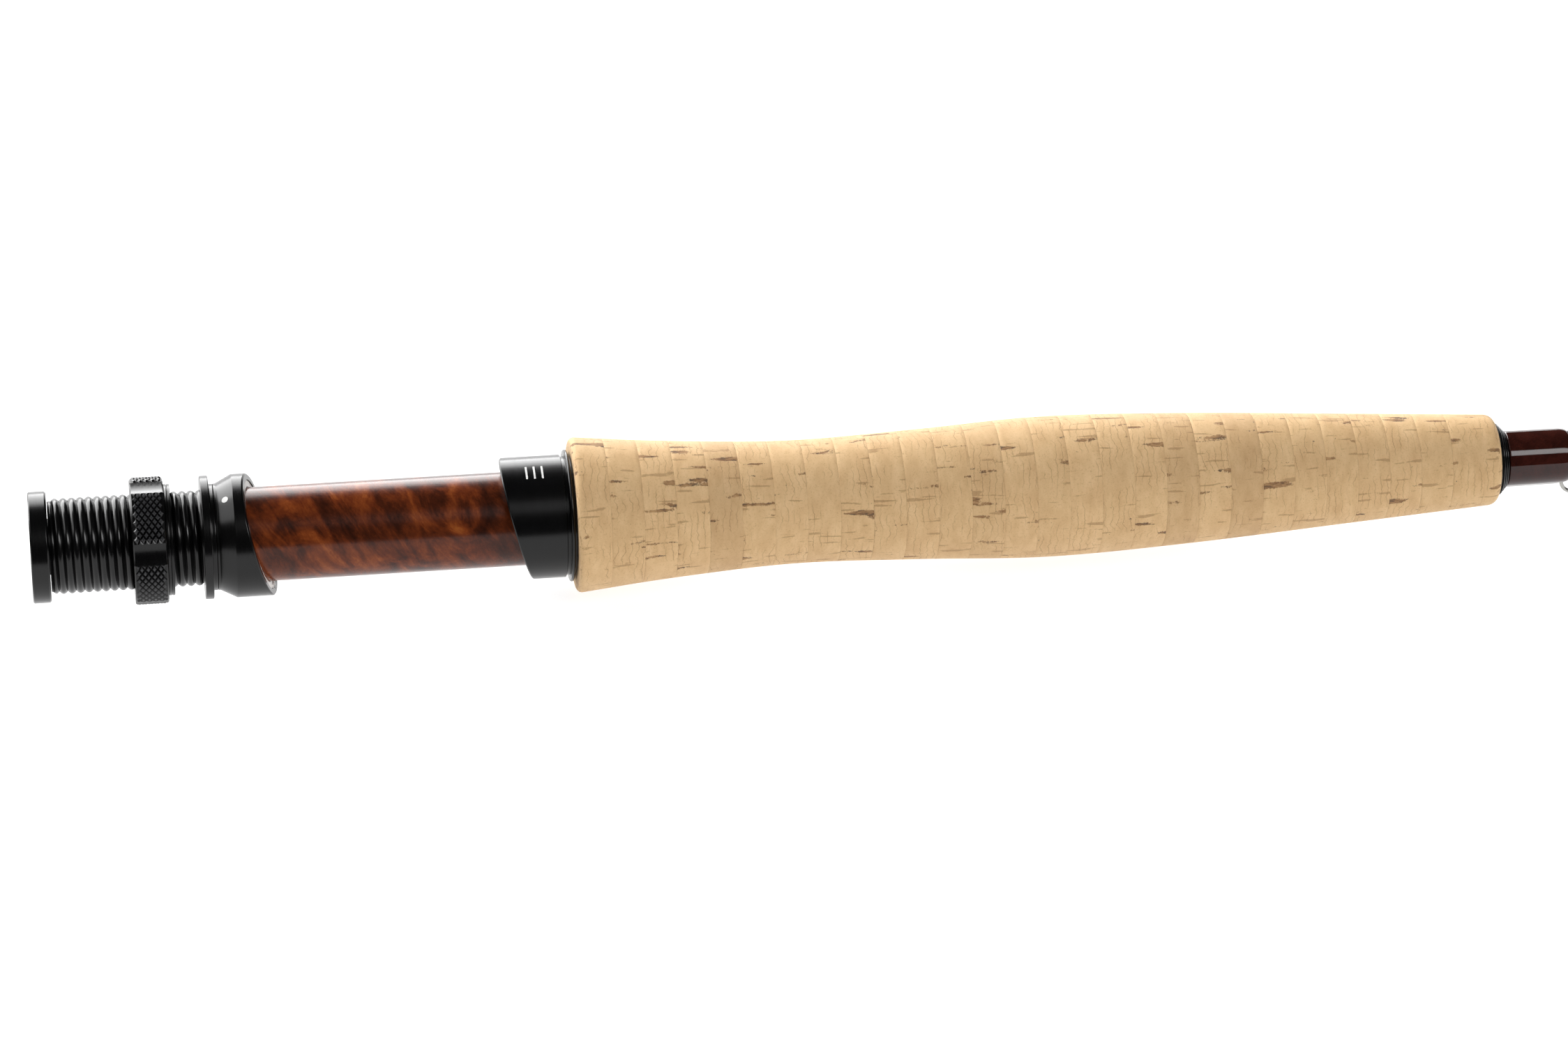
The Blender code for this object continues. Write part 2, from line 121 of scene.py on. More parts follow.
def smooth_curve(stations, x):
    """Height at x of a smooth curve through the stations, carried on straight past both ends."""
    inside = min(max(x, stations[0][0]), stations[-1][0])
    last = len(stations) - 2
    index = next((i for i in range(last + 1) if inside <= stations[i + 1][0]), last)

    def slope(i):
        before = stations[max(i - 1, 0)]
        after = stations[min(i + 1, last + 1)]
        return (after[1] - before[1]) / (after[0] - before[0])

    (x0, r0), (x1, r1) = stations[index], stations[index + 1]
    t = (inside - x0) / (x1 - x0)
    height = (
        r0 * (1 + 2 * t) * (1 - t) ** 2
        + slope(index) * (x1 - x0) * t * (1 - t) ** 2
        + r1 * t * t * (3 - 2 * t)
        + slope(index + 1) * (x1 - x0) * t * t * (t - 1)
    )
    ending = slope(0) if x < inside else slope(last + 1)
    return height + ending * (x - inside)


def blank_radius(x):
    start, end = span("blank")
    share = (x - start) / (end - start)
    return reach("blank", start) * (1 - share) + reach("blank", end) * share


# ---------------------------------------------------------------- mesh helpers


def on_axis(x, radius, angle):
    return Vector((x, radius * math.cos(angle), radius * math.sin(angle)))


def apart(angle, middle):
    """How far the angle is from the middle, the short way round."""
    return abs((angle - middle + math.pi) % TAU - math.pi)


def eased(share):
    """0 to 1 along a smooth S, and level outside."""
    share = min(max(share, 0), 1)
    return share * share * (3 - 2 * share)


def lathe(outline, segments=SEGMENTS):
    """A bmesh of the closed outline turned about X.

    Each point of the outline is (x, radius), or a function of the angle that returns them.
    """
    bm = bmesh.new()
    columns = []
    for step in range(segments):
        angle = TAU * step / segments
        column = []
        for index, point in enumerate(outline):
            x, radius = point(angle) if callable(point) else point
            if radius == 0 and columns:
                column.append(columns[0][index])
            else:
                column.append(bm.verts.new(on_axis(x, radius, angle)))
        columns.append(column)
    for step, column in enumerate(columns):
        following = columns[(step + 1) % segments]
        for index in range(len(outline)):
            after = (index + 1) % len(outline)
            corners = (column[index], following[index], following[after], column[after])
            different = list(dict.fromkeys(corners))
            if len(different) > 2:
                bm.faces.new(different)
    return bm


def arc(centre, radii, first, last, steps=6):
    """Outline points along an ellipse about the centre, from one angle to another, in degrees."""
    points = []
    for step in range(steps + 1):
        angle = math.radians(first + (last - first) * step / steps)
        x = centre[0] + radii[0] * math.cos(angle)
        points.append((x, centre[1] + radii[1] * math.sin(angle)))
    return points


def piece(name, bm, material, body="rod", nodes=(), bevel=0.0, sharp=35):
    """An object from the bmesh that rides on a body and stands for CAD nodes.

    It gets a bevel along its edges, or its edges above the sharp angle stay sharp.
    """
    bmesh.ops.recalc_face_normals(bm, faces=bm.faces)
    mesh = bpy.data.meshes.new(name)
    bm.to_mesh(mesh)
    bm.free()
    mesh.shade_smooth()
    item = bpy.data.objects.new(name, mesh)
    bpy.context.scene.collection.objects.link(item)
    if bevel:
        rounding = item.modifiers.new("rounded_edges", "BEVEL")
        rounding.width = bevel
        rounding.segments = 3
        rounding.limit_method = "ANGLE"
        rounding.angle_limit = math.radians(20)
        rounding.harden_normals = True
    else:
        mesh.set_sharp_from_angle(angle=math.radians(sharp))
    return dressed(item, material, body, nodes)


def dressed(item, material, body, nodes=()):
    item.data.materials.append(material)
    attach(item, body)
    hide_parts(*nodes)
    return item


# ---------------------------------------------------------------- node helpers


def feed(tree, socket, value):
    """Links the socket to another node's output, or sets its value."""
    if isinstance(value, bpy.types.NodeSocket):
        tree.links.new(value, socket)
    else:
        socket.default_value = value


def add(tree, kind, settings=None, inputs=None, output=0):
    """Adds a node, and returns one of its outputs."""
    node = tree.nodes.new(kind)
    for key, value in (settings or {}).items():
        setattr(node, key, value)
    for key, value in (inputs or {}).items():
        feed(tree, node.inputs[key], value)
    return node.outputs[output]


def calc(tree, operation, *values):
    return add(tree, "ShaderNodeMath", {"operation": operation}, dict(enumerate(values)))


def scaled(tree, vector, x, y, z):
    """The vector with each of its parts multiplied."""
    return add(tree, "ShaderNodeVectorMath", {"operation": "MULTIPLY"}, {0: vector, 1: (x, y, z)})


def noise(tree, vector, scale, detail=2.0, roughness=0.5, distortion=0.0, w=0.0):
    values = {
        "Vector": vector,
        "W": w,
        "Scale": scale,
        "Detail": detail,
        "Roughness": roughness,
        "Distortion": distortion,
    }
    return add(tree, "ShaderNodeTexNoise", {"noise_dimensions": "4D"}, values)


def step_up(tree, value, low, high, first=0.0, last=1.0):
    """A smooth step from first to last as the value goes from low to high."""
    values = {"Value": value, "From Min": low, "From Max": high, "To Min": first, "To Max": last}
    return add(tree, "ShaderNodeMapRange", {"interpolation_type": "SMOOTHSTEP"}, values)


def ramp(tree, value, stops):
    """A colour ramp through (place, colour) stops."""
    node = tree.nodes.new("ShaderNodeValToRGB")
    elements = node.color_ramp.elements
    while len(elements) < len(stops):
        elements.new(0.5)
    for element, (place, colour) in zip(elements, stops):
        element.position = place
        element.color = (*colour, 1)
    feed(tree, node.inputs[0], value)
    return node.outputs[0]


def blended(tree, share, first, second, kind="MIX"):
    """Two colours mixed by a share, or multiplied."""
    node = tree.nodes.new("ShaderNodeMix")
    node.data_type = "RGBA"
    node.blend_type = kind
    for index, value in ((0, share), (6, first), (7, second)):
        feed(tree, node.inputs[index], value)
    return node.outputs[2]


def bump(tree, height, strength, distance):
    values = {"Height": height, "Strength": strength, "Distance": distance}
    return add(tree, "ShaderNodeBump", None, values)


def new_material(name, uniform):
    """A node material, with its Principled shader and its object coordinates in millimetres."""
    material = bpy.data.materials.new(name)
    material.use_nodes = True
    tree = material.node_tree
    shader = tree.nodes["Principled BSDF"]
    for socket, value in uniform.items():
        shader.inputs[socket].default_value = value
    here = add(tree, "ShaderNodeTexCoord", output=3)
    return material, tree, shader, scaled(tree, here, 1000, 1000, 1000)


# ---------------------------------------------------------------- materials


def anodised(name, highlit_beyond=0.0):
    """Gloss black anodised aluminium with faint turning marks.

    Where a radius in mm is given, all that stands further from the rod's axis is painted grey, as a
    painted highlight on the knurl's tops.
    """
    material, tree, shader, place = new_material(name, {"IOR": 1.42})
    marks = noise(tree, scaled(tree, place, 9.0, 0.15, 0.15), 1.0, detail=3)
    cloud = noise(tree, place, 0.35, detail=3)
    colour = ramp(tree, cloud, [(0.3, (0.0010, 0.0010, 0.0011)), (0.7, (0.0022, 0.0022, 0.0025))])
    if highlit_beyond:
        settings = {"operation": "LENGTH"}
        outward = {0: scaled(tree, place, 0, 1, 1)}
        radius = add(tree, "ShaderNodeVectorMath", settings, outward, output=1)
        # painted highlight: the outermost skin, the knurl's flat tops, is painted grey where glints
        # would show on them
        wear_and_highlight = step_up(tree, radius, highlit_beyond - 0.04, highlit_beyond + 0.04)
        painted_highlight_grey = (0.034, 0.034, 0.036, 1)
        colour = blended(tree, wear_and_highlight, colour, painted_highlight_grey)
    feed(tree, shader.inputs["Base Color"], colour)
    feed(tree, shader.inputs["Roughness"], step_up(tree, marks, 0.3, 0.7, 0.18, 0.23))
    feed(tree, shader.inputs["Normal"], bump(tree, marks, 0.06, 0.02 * MM))
    return material


def burl():
    """Red-brown burl with dark swirls and slanting orange flame, under satin lacquer."""
    uniform = {"IOR": 1.4, "Specular Tint": (1, 0.86, 0.84, 1)}
    material, tree, shader, place = new_material("burl_wood", uniform)
    slant = math.radians(32)  # of the flame, from straight round the insert
    lean = math.radians(55)  # where round the rod the slant is measured, from +Y

    def along(x, up, depth, frequency):
        """Distance along a direction of the flame, times a frequency per mm."""
        y = up * math.cos(lean) - depth * math.sin(lean)
        z = up * math.sin(lean) + depth * math.cos(lean)
        settings = {"operation": "DOT_PRODUCT"}
        values = {0: place, 1: (x * frequency, y * frequency, z * frequency)}
        return add(tree, "ShaderNodeVectorMath", settings, values, output=1)

    def flames(across, down, deep):
        """Place in the flame's own directions."""
        values = {
            0: along(math.cos(slant), math.sin(slant), 0, across),
            1: along(math.sin(slant), -math.cos(slant), 0, down),
            2: along(0, 0, 1, deep),
        }
        return add(tree, "ShaderNodeCombineXYZ", None, values)

    wide = flames(0.115, 0.085, 0.10)
    long = flames(0.34, 0.055, 0.12)
    fine = flames(1.5, 0.9, 1.0)
    blotches = noise(tree, wide, 1.0, detail=6, roughness=0.58, distortion=1.6, w=3.3)
    flame = noise(tree, long, 1.0, detail=5, roughness=0.60, distortion=0.9, w=8.4)
    curl = noise(tree, fine, 1.0, detail=5, roughness=0.66, distortion=1.2, w=1.7)
    # figured: how much of the flame shows, more in some patches than in others
    figured = step_up(tree, noise(tree, place, 0.075, detail=2, w=5.1), 0.42, 0.60, 0.20, 0.64)
    mixed = calc(tree, "MULTIPLY_ADD", calc(tree, "SUBTRACT", flame, blotches), figured, blotches)
    mixed = calc(tree, "ADD", mixed, calc(tree, "MULTIPLY_ADD", curl, 0.14, -0.07))
    colour = ramp(
        tree,
        mixed,
        [
            (0.36, (0.024, 0.0056, 0.0024)),
            (0.44, (0.056, 0.0118, 0.0040)),
            (0.51, (0.118, 0.0235, 0.0060)),
            (0.58, (0.205, 0.0450, 0.0100)),
            (0.69, (0.380, 0.1080, 0.0240)),
        ],
    )
    feed(tree, shader.inputs["Base Color"], colour)
    feed(tree, shader.inputs["Roughness"], step_up(tree, curl, 0.3, 0.7, 0.18, 0.22))
    feed(tree, shader.inputs["Normal"], bump(tree, curl, 0.006, 0.05 * MM))
    return material


def cork():
    """Sanded cork in glued rings.

    Dark lenticels and hair lines run along the rod and growth lines run round it. Each ring has a
    pattern and a tone of its own.
    """
    uniform = {"IOR": 1.4, "Sheen Weight": 0.10, "Sheen Roughness": 0.5}
    material, tree, shader, place = new_material("cork", uniform)
    start = span("cork_ring_01")[0] / MM
    pitch = (span("cork_ring_02")[0] - span("cork_ring_01")[0]) / MM
    along = add(tree, "ShaderNodeSeparateXYZ", None, {0: place})
    rings = calc(tree, "DIVIDE", calc(tree, "SUBTRACT", along, start), pitch)
    number = calc(tree, "MINIMUM", calc(tree, "FLOOR", rings), CORK_RINGS - 1)
    chance = add(tree, "ShaderNodeTexWhiteNoise", {"noise_dimensions": "1D"}, {"W": number})
    own = calc(tree, "MULTIPLY", chance, 40.0)

    mottle = noise(tree, scaled(tree, place, 0.45, 0.22, 0.22), 1.0, detail=5, roughness=0.6, w=own)
    colour = ramp(
        tree,
        mottle,
        [
            (0.30, (0.69, 0.440, 0.216)),
            (0.52, (0.77, 0.515, 0.262)),
            (0.74, (0.84, 0.580, 0.310)),
        ],
    )
    darker_rings = [(0.0, (0.87, 0.855, 0.84)), (0.16, (0.96, 0.96, 0.95)), (1.0, (1, 1, 1))]
    tone = ramp(tree, chance, darker_rings)
    colour = blended(tree, 1.0, colour, tone, "MULTIPLY")

    specks = noise(tree, place, 3.4, detail=3, roughness=0.7, w=own)
    freckles = step_up(tree, specks, 0.52, 0.70)
    colour = blended(tree, calc(tree, "MULTIPLY", freckles, 0.34), colour, (0.40, 0.20, 0.078, 1))

    wander = noise(tree, scaled(tree, place, 0.10, 0.22, 0.22), 1.0, detail=4, roughness=0.6, w=own)
    line_pitch = 1.3
    lines = calc(tree, "MULTIPLY_ADD", wander, 3.2, calc(tree, "DIVIDE", along, line_pitch))
    lines = calc(tree, "ABSOLUTE", calc(tree, "SUBTRACT", lines, calc(tree, "ROUND", lines)))
    growth = step_up(tree, lines, 0.01, 0.09, 1.0, 0.0)
    patchy = step_up(tree, noise(tree, place, 0.20, detail=3, w=own), 0.44, 0.60)
    growth = calc(tree, "MULTIPLY", growth, calc(tree, "MULTIPLY", patchy, 0.46))
    colour = blended(tree, growth, colour, (0.30, 0.14, 0.052, 1))

    ragged = noise(tree, place, 1.7, detail=4, roughness=0.75, w=own)
    hairs = noise(tree, scaled(tree, place, 0.13, 1.25, 1.25), 1.0, detail=1, w=own)
    hairs = calc(tree, "MULTIPLY_ADD", ragged, 0.18, hairs)
    hairs = step_up(tree, hairs, 0.725, 0.78)
    colour = blended(tree, calc(tree, "MULTIPLY", hairs, 0.50), colour, (0.34, 0.175, 0.070, 1))

    dashes = noise(tree, scaled(tree, place, 0.085, 0.55, 0.55), 1.0, detail=1, w=own)
    dashes = calc(tree, "MULTIPLY_ADD", ragged, 0.22, dashes)
    dashes = step_up(tree, dashes, 0.770, 0.805)
    inside = noise(tree, scaled(tree, place, 0.55, 1.6, 1.6), 1.0, detail=4, roughness=0.65, w=own)
    pit_colour = ramp(
        tree,
        inside,
        [
            (0.38, (0.070, 0.040, 0.028)),
            (0.48, (0.260, 0.125, 0.052)),
            (0.64, (0.50, 0.285, 0.125)),
        ],
    )
    colour = blended(tree, calc(tree, "MULTIPLY", dashes, 0.88), colour, pit_colour)

    pits = noise(tree, scaled(tree, place, 0.9, 0.9, 0.9), 1.0, detail=3, roughness=0.7, w=own)
    pits = step_up(tree, pits, 0.70, 0.74)
    colour = blended(tree, calc(tree, "MULTIPLY", pits, 0.75), colour, (0.085, 0.046, 0.028, 1))

    seam = calc(tree, "ABSOLUTE", calc(tree, "SUBTRACT", rings, calc(tree, "ROUND", rings)))
    seam = step_up(tree, seam, 0.004, 0.016, 1.0, 0.0)
    wear_and_highlight = step_up(tree, noise(tree, place, 0.45, detail=3, w=2.0), 0.42, 0.66, 0.02, 0.28)
    colour = blended(tree, calc(tree, "MULTIPLY", seam, wear_and_highlight), colour, (0.25, 0.11, 0.040, 1))

    relief = calc(tree, "MULTIPLY_ADD", specks, 0.25, calc(tree, "MULTIPLY", dashes, -1.0))
    relief = calc(tree, "MULTIPLY_ADD", pits, -1.0, relief)
    feed(tree, shader.inputs["Base Color"], colour)
    feed(tree, shader.inputs["Roughness"], step_up(tree, specks, 0.3, 0.7, 0.66, 0.82))
    feed(tree, shader.inputs["Normal"], bump(tree, relief, 0.4, 0.12 * MM))
    return material


def lacquered(name, dark, light, thread=0.0):
    """Colour under a clear gloss coat. Windings with a pitch of thread, in mm, show through it."""
    uniform = {
        "Specular IOR Level": 0.0,
        "Coat Weight": 1.0,
        "Coat IOR": 1.46,
        "Coat Roughness": 0.04,
        "Roughness": 0.5,
    }
    material, tree, shader, place = new_material(name, uniform)
    cloud = noise(tree, place, 0.5, detail=3)
    flow = noise(tree, scaled(tree, place, 0.35, 0.2, 0.2), 1.0, detail=1)
    if thread:
        along = add(tree, "ShaderNodeSeparateXYZ", None, {0: place})
        wave = calc(tree, "SINE", calc(tree, "MULTIPLY", along, TAU / thread))
        cloud = calc(tree, "MULTIPLY_ADD", wave, 0.18, cloud)
    feed(tree, shader.inputs["Base Color"], ramp(tree, cloud, [(0.3, dark), (0.7, light)]))
    feed(tree, shader.inputs["Coat Normal"], bump(tree, flow, 0.15, 0.1 * MM))
    return material


def moulded(name, dark, light, roughness, speck=2.0):
    """Plain material with a fine grain: rubber, ground graphite or nylon."""
    material, tree, shader, place = new_material(name, {"IOR": 1.48})
    grain = noise(tree, place, speck, detail=4, roughness=0.65)
    feed(tree, shader.inputs["Base Color"], ramp(tree, grain, [(0.3, dark), (0.7, light)]))
    low, high = roughness
    feed(tree, shader.inputs["Roughness"], step_up(tree, grain, 0.3, 0.7, low, high))
    feed(tree, shader.inputs["Normal"], bump(tree, grain, 0.3, 0.02 * MM))
    return material


def polished_steel():
    """Drawn stainless wire: bright metal with faint lines along it."""
    material, tree, shader, place = new_material("steel", {"Metallic": 1.0})
    drawn = noise(tree, scaled(tree, place, 1.0, 6.0, 6.0), 1.0, detail=3)
    colour = ramp(tree, drawn, [(0.3, (0.36, 0.36, 0.34)), (0.7, (0.50, 0.49, 0.47))])
    feed(tree, shader.inputs["Base Color"], colour)
    feed(tree, shader.inputs["Roughness"], step_up(tree, drawn, 0.3, 0.7, 0.14, 0.26))
    return material


def white_paint():
    material, tree, shader, place = new_material("white_paint", {"IOR": 1.45})
    wear_and_highlight = noise(tree, place, 2.5, detail=3)
    colour = ramp(tree, wear_and_highlight, [(0.25, (0.72, 0.72, 0.71)), (0.6, (0.88, 0.88, 0.87))])
    feed(tree, shader.inputs["Base Color"], colour)
    feed(tree, shader.inputs["Roughness"], step_up(tree, wear_and_highlight, 0.3, 0.7, 0.35, 0.5))
    return material


black = anodised("black_anodised")
wood = burl()
cork_skin = cork()
rubber = moulded("rubber", (0.002, 0.0024, 0.0026), (0.005, 0.0058, 0.0060), (0.14, 0.22))
lacquer = lacquered("blank_lacquer", (0.012, 0.004, 0.004), (0.020, 0.006, 0.006))
burgundy = lacquered("burgundy_wrap", (0.020, 0.0042, 0.0028), (0.046, 0.0095, 0.0060), 0.16)
trim_thread = lacquered("trim_thread", (0.004, 0.004, 0.004), (0.010, 0.009, 0.009), 0.16)
steel = polished_steel()
graphite = moulded("graphite", (0.020, 0.020, 0.022), (0.040, 0.040, 0.043), (0.38, 0.5), speck=4.0)
nylon = moulded("nylon", (0.74, 0.73, 0.70), (0.84, 0.83, 0.80), (0.28, 0.4), speck=1.0)
paint = white_paint()


# ---------------------------------------------------------------- reel seat


def butt_cap():
    """Cap with a fine chamfer on both rims and a shallow turned line in its end face."""
    end = span("threaded_barrel")[0] - GLUE
    plug_end = span("butt_cap")[1]
    radius = reach("butt_cap")
    plug = reach("blank", span("blank")[0])
    line = 0.62 * radius
    dip = 0.12 * MM
    chamfer = 0.22 * MM
    outline = [
        (0, 0),
        (0, line - 2 * dip),
        (dip, line - dip),
        (0, line),
        (0, radius - chamfer),
        (chamfer, radius),
        (end - 0.34 * MM, radius),
        (end, radius - 0.30 * MM),
        (end, plug),
        (plug_end, plug),
        (plug_end, 0),
    ]
    bm = lathe(outline)
    piece("butt_cap_turned", bm, black, nodes=["butt_cap"], bevel=0.05 * MM)


def thread_height(share):
    """The rounded thread's height over its root, 0 to 1, at a share of one pitch."""
    return 1 - abs(2 * share - 1) ** 1.9


def threaded_barrel():
    """Tube with a rounded right-hand thread that runs out at both ends."""
    start, end = span("threaded_barrel")
    crest = reach("threaded_barrel")
    root = crest - THREAD_DEPTH
    bore = reach("wood_insert", span("wood_insert")[0]) + RUNNING
    rows_in_pitch = 12
    first_root = start + 0.4 * MM
    turns = math.ceil((end - start) / THREAD_PITCH)
    run_out = 0.7 * THREAD_PITCH
    bm = bmesh.new()
    columns = []
    for step in range(SEGMENTS):
        column = []
        for row in range(-2 * rows_in_pitch, (turns + 1) * rows_in_pitch + 1):
            x = first_root + THREAD_PITCH * (row / rows_in_pitch + step / SEGMENTS)
            ending = eased(min(x - start, end - x) / run_out)
            height = thread_height(row % rows_in_pitch / rows_in_pitch) * ending
            x = min(max(x, start), end)
            radius = root + THREAD_DEPTH * height
            column.append(bm.verts.new(on_axis(x, radius, TAU * step / SEGMENTS)))
        columns.append(column)
    for step, column in enumerate(columns):
        following = columns[step + 1] if step + 1 < SEGMENTS else columns[0][rows_in_pitch:]
        for row in range(min(len(column), len(following)) - 1):
            bm.faces.new((column[row], following[row], following[row + 1], column[row + 1]))
    rims = []
    for x, radius in ((start, root), (start, bore), (end, bore), (end, root)):
        rims.append([bm.verts.new(on_axis(x, radius, TAU * j / SEGMENTS)) for j in range(SEGMENTS)])
    for rim, next_rim in zip(rims, rims[1:]):
        for j in range(SEGMENTS):
            k = (j + 1) % SEGMENTS
            bm.faces.new((rim[j], rim[k], next_rim[k], next_rim[j]))
    bmesh.ops.remove_doubles(bm, verts=bm.verts, dist=0.0001 * MM)
    piece("barrel_thread", bm, black, nodes=["threaded_barrel"], sharp=60)


def wood_insert():
    """Burl insert with a tenon in the barrel, and a flat on its underside for the reel's foot."""
    start, end = span("wood_insert")
    seen = span("threaded_barrel")[1] + 0.05 * MM
    radius = reach("wood_insert")
    tenon = reach("wood_insert", start)
    flat = -min(v.co.z for v in frame["nodes"]["wood_insert"].data.vertices if v.co.x > seen + MM)
    bore = reach("seat_arbor_rear") + RUNNING

    def body(x):
        def point(angle):
            down = -math.sin(angle)
            return x, min(radius, flat / down) if down > 0 else radius

        return point

    outline = [(start, bore), (start, tenon), (seen, tenon), body(seen), body(end), (end, bore)]
    bm = lathe(outline, 2 * SEGMENTS)
    piece("burl_insert", bm, wood, nodes=["wood_insert"], bevel=0.12 * MM)


def locking_ring():
    """Ring with five smooth scallops between lobes of diamond knurl.

    The knurl is a lattice of flat-topped pyramids whose corners are the crossings of its grooves.
    """
    start, end = span("locking_ring")
    outer = reach("locking_ring")
    bore = reach("threaded_barrel") + 2 * RUNNING
    around = 90
    rows = 10
    rim = 0.22 * MM
    depth = 0.30 * MM
    flat = 0.45  # share of a cell that each pyramid's flat top reaches
    bm = bmesh.new()

    def surface(column, row, share):
        """Point of the lattice, the share of the way from the grooves to the pyramids' tops."""
        angle = TAU * column / around
        spacing = TAU / RING_LOBES
        off = abs((angle - FIRST_SCALLOP + spacing / 2) % spacing - spacing / 2)
        scallop = SCALLOP_DEPTH * (1 - min(off / SCALLOP_HALF, 1) ** 2)
        cut = depth * (1 - share) if off > SCALLOP_HALF else 0.0
        x = start + rim + (end - start - 2 * rim) * row / rows
        return on_axis(x, outer - scallop - cut, angle)

    grooves = {}
    for column in range(around):
        for row in range(rows + 1):
            if (column + row) % 2 == 0 or row in (0, rows):
                grooves[column, row] = bm.verts.new(surface(column, row, 0.0))

    def corner(column, row):
        return grooves[column % around, row]

    for column in range(around):
        for row in range(rows + 1):
            if (column + row) % 2 == 0:
                continue
            sides = [(1, 0), (0, 1), (-1, 0), (0, -1)]
            if row in (0, rows):
                inward = 1 if row == 0 else -1
                tip = corner(column, row)
                for side in (1, -1):
                    bm.faces.new((tip, corner(column + side, row), corner(column, row + inward)))
                continue
            tops = [bm.verts.new(surface(column + flat * a, row + flat * b, 1.0)) for a, b in sides]
            feet = [corner(column + a, row + b) for a, b in sides]
            bm.faces.new(tops)
            for j in range(4):
                k = (j + 1) % 4
                bm.faces.new((feet[j], feet[k], tops[k], tops[j]))
    inner = []
    for row, x in ((0, start), (rows, end)):
        edge = [corner(column, row) for column in range(around)]
        shoulder = []
        inside = []
        for column, vertex in enumerate(edge):
            angle = TAU * column / around
            radius = math.hypot(vertex.co.y, vertex.co.z)
            shoulder.append(bm.verts.new(on_axis(x, radius - rim, angle)))
            inside.append(bm.verts.new(on_axis(x, bore, angle)))
        for first, second in ((edge, shoulder), (shoulder, inside)):
            for j in range(around):
                k = (j + 1) % around
                bm.faces.new((first[j], first[k], second[k], second[j]))
        inner.append(inside)
    for j in range(around):
        k = (j + 1) % around
        bm.faces.new((inner[0][j], inner[0][k], inner[1][k], inner[1][j]))
    # the knurl's tops, within this band below the outer radius, get a painted grey highlight
    highlight_band = 0.12 * MM
    knurled = anodised("knurled_black", (outer - highlight_band) / MM)
    piece("knurled_ring", bm, knurled, "ring", ["locking_ring"], sharp=24)


def thrust_washer():
    start, end = span("thrust_washer")
    start -= TUCK
    outer = reach("thrust_washer")
    bore = reach("threaded_barrel") + RUNNING
    groove = 0.12 * MM
    middle = (start + end) / 2
    outline = [
        (start, bore),
        (start, outer),
        (middle - groove, outer),
        (middle, outer - groove),
        (middle + groove, outer),
        (end, outer),
        (end, bore),
    ]
    bm = lathe(outline)
    piece("washer", bm, black, "ring_carriage", ["thrust_washer"], 0.07 * MM)


def hood_collar():
    start, end = span("hood_collar")
    flange = reach("hood_collar")
    neck = reach("hood_collar", end)
    bore = reach("threaded_barrel") + RUNNING
    flange_end = start + FLANGE_WIDTH
    end += 0.27 * MM  # as near to the hood as it can turn
    outline = [
        (start, bore),
        (start, flange),
        (flange_end, flange),
        (flange_end, neck),
        (end, neck),
        (end, bore),
    ]
    bm = lathe(outline)
    piece("collar", bm, black, "hood_carriage", ["hood_collar"], 0.18 * MM)


def mouth_point(x, radius, slope, pocket=None):
    """Point on a slanted mouth. A pocket widens it on the underside."""

    def point(angle):
        here = radius
        if pocket and apart(angle, UNDERSIDE) < POCKET_HALF:
            here = pocket
        return x - slope * here * math.sin(angle), here

    return point


def sliding_hood():
    """Hood with a neck, a cone, a cylinder and a slanted mouth, its pale liner and its white dot."""
    start, furthest = span("sliding_hood")
    outer = reach("sliding_hood")
    neck = reach("sliding_hood", start)
    bore = reach("threaded_barrel") + RUNNING
    mouth = furthest - MOUTH_SLOPE * (outer - MOUTH_LIP)
    cone_start = start + 0.4 * MM
    cone_end = cone_start + CONE_LENGTH
    inside = start + HOOD_FLOOR
    pocket = POCKET_RADIUS + 2 * RUNNING
    outline = [
        (start, bore),
        (start, neck),
        (cone_start, neck),
        (cone_end, outer),
        mouth_point(mouth - MOUTH_LIP, outer, MOUTH_SLOPE),
        mouth_point(mouth, outer - MOUTH_LIP, MOUTH_SLOPE),
        mouth_point(mouth, LINED_RADIUS, MOUTH_SLOPE, pocket),
        mouth_point(inside, LINED_RADIUS, 0, pocket),
        (inside, bore),
    ]
    bm = lathe(outline, 2 * SEGMENTS)
    hood = piece("hood_shell", bm, black, "hood", ["sliding_hood"], 0.06 * MM)

    liner_start = span("hood_liner")[0]
    inner = reach("wood_insert") + 2 * RUNNING
    skin = LINED_RADIUS - RUNNING
    foot_room = 10.1 * MM
    liner_end = mouth - 0.25 * MM
    outline = [
        mouth_point(liner_start, inner, 0, foot_room),
        mouth_point(liner_start, skin, 0, pocket - RUNNING),
        mouth_point(liner_end, skin, MOUTH_SLOPE, pocket - RUNNING),
        mouth_point(liner_end, inner, MOUTH_SLOPE, foot_room),
    ]
    bm = lathe(outline, 2 * SEGMENTS)
    liner = piece("liner", bm, nylon, "hood", ["hood_liner"], 0.06 * MM)

    dot_angle = math.radians(106) - HOOD_TURN
    dot_radius = 0.66 * MM
    middle = (cone_start + cone_end) / 2
    tilt = math.atan2(outer - neck, cone_end - cone_start)
    radius = (neck + outer) / 2
    dot = painted_patch(middle, radius, dot_angle, tilt, disc_rows(dot_radius))
    dot = piece("white_dot", dot, paint, "hood")
    for item in (hood, liner, dot):
        item.matrix_world = Matrix.Rotation(HOOD_TURN, 4, "X")


